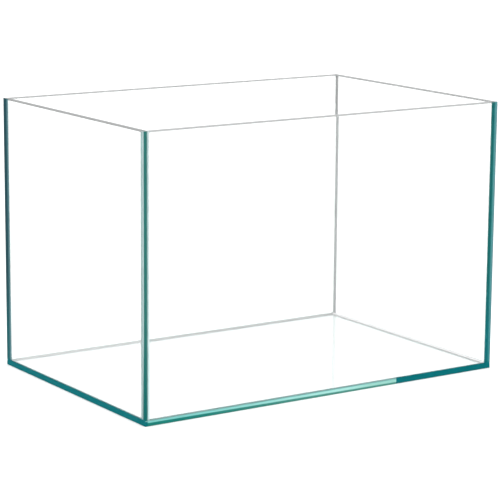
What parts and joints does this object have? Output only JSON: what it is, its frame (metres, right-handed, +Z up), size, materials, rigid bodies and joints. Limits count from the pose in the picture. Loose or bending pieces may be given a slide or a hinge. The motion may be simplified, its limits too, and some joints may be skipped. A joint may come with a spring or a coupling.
{
  "type": "rimless aquarium",
  "caption": "Open-topped rectangular glass tank with no rim or brace, its panes bonded edge to edge with clear silicone, that holds water for fish or plants.",
  "frame": {"origin": "middle of the underside of the base pane, on the surface that the tank stands on", "axes": "+X along the front pane to the right, +Y from the front pane to the rear pane, +Z up to the open rim"},
  "size_m": [0.45, 0.3, 0.3],
  "materials": {
    "float_glass": "clear float glass with flat polished, blue-green cut edges",
    "bond_silicone": "clear structural silicone, trimmed just inside the outer faces",
    "seal_silicone": "clear tooled silicone fillet, smooth and slightly milky"
  },
  "bodies": {
    "root": {"base_pane": "float_glass", "front_pane": "float_glass", "rear_pane": "float_glass", "left_pane": "float_glass", "right_pane": "float_glass", "base_bond_front": "bond_silicone", "base_bond_rear": "bond_silicone", "base_bond_left": "bond_silicone", "base_bond_right": "bond_silicone", "corner_bond_front_left": "bond_silicone", "corner_bond_front_right": "bond_silicone", "corner_bond_rear_left": "bond_silicone", "corner_bond_rear_right": "bond_silicone", "base_seal_front": "seal_silicone", "base_seal_rear": "seal_silicone", "base_seal_left": "seal_silicone", "base_seal_right": "seal_silicone", "corner_seal_front_left": "seal_silicone", "corner_seal_front_right": "seal_silicone", "corner_seal_rear_left": "seal_silicone", "corner_seal_rear_right": "seal_silicone"}
  },
  "joints": []
}
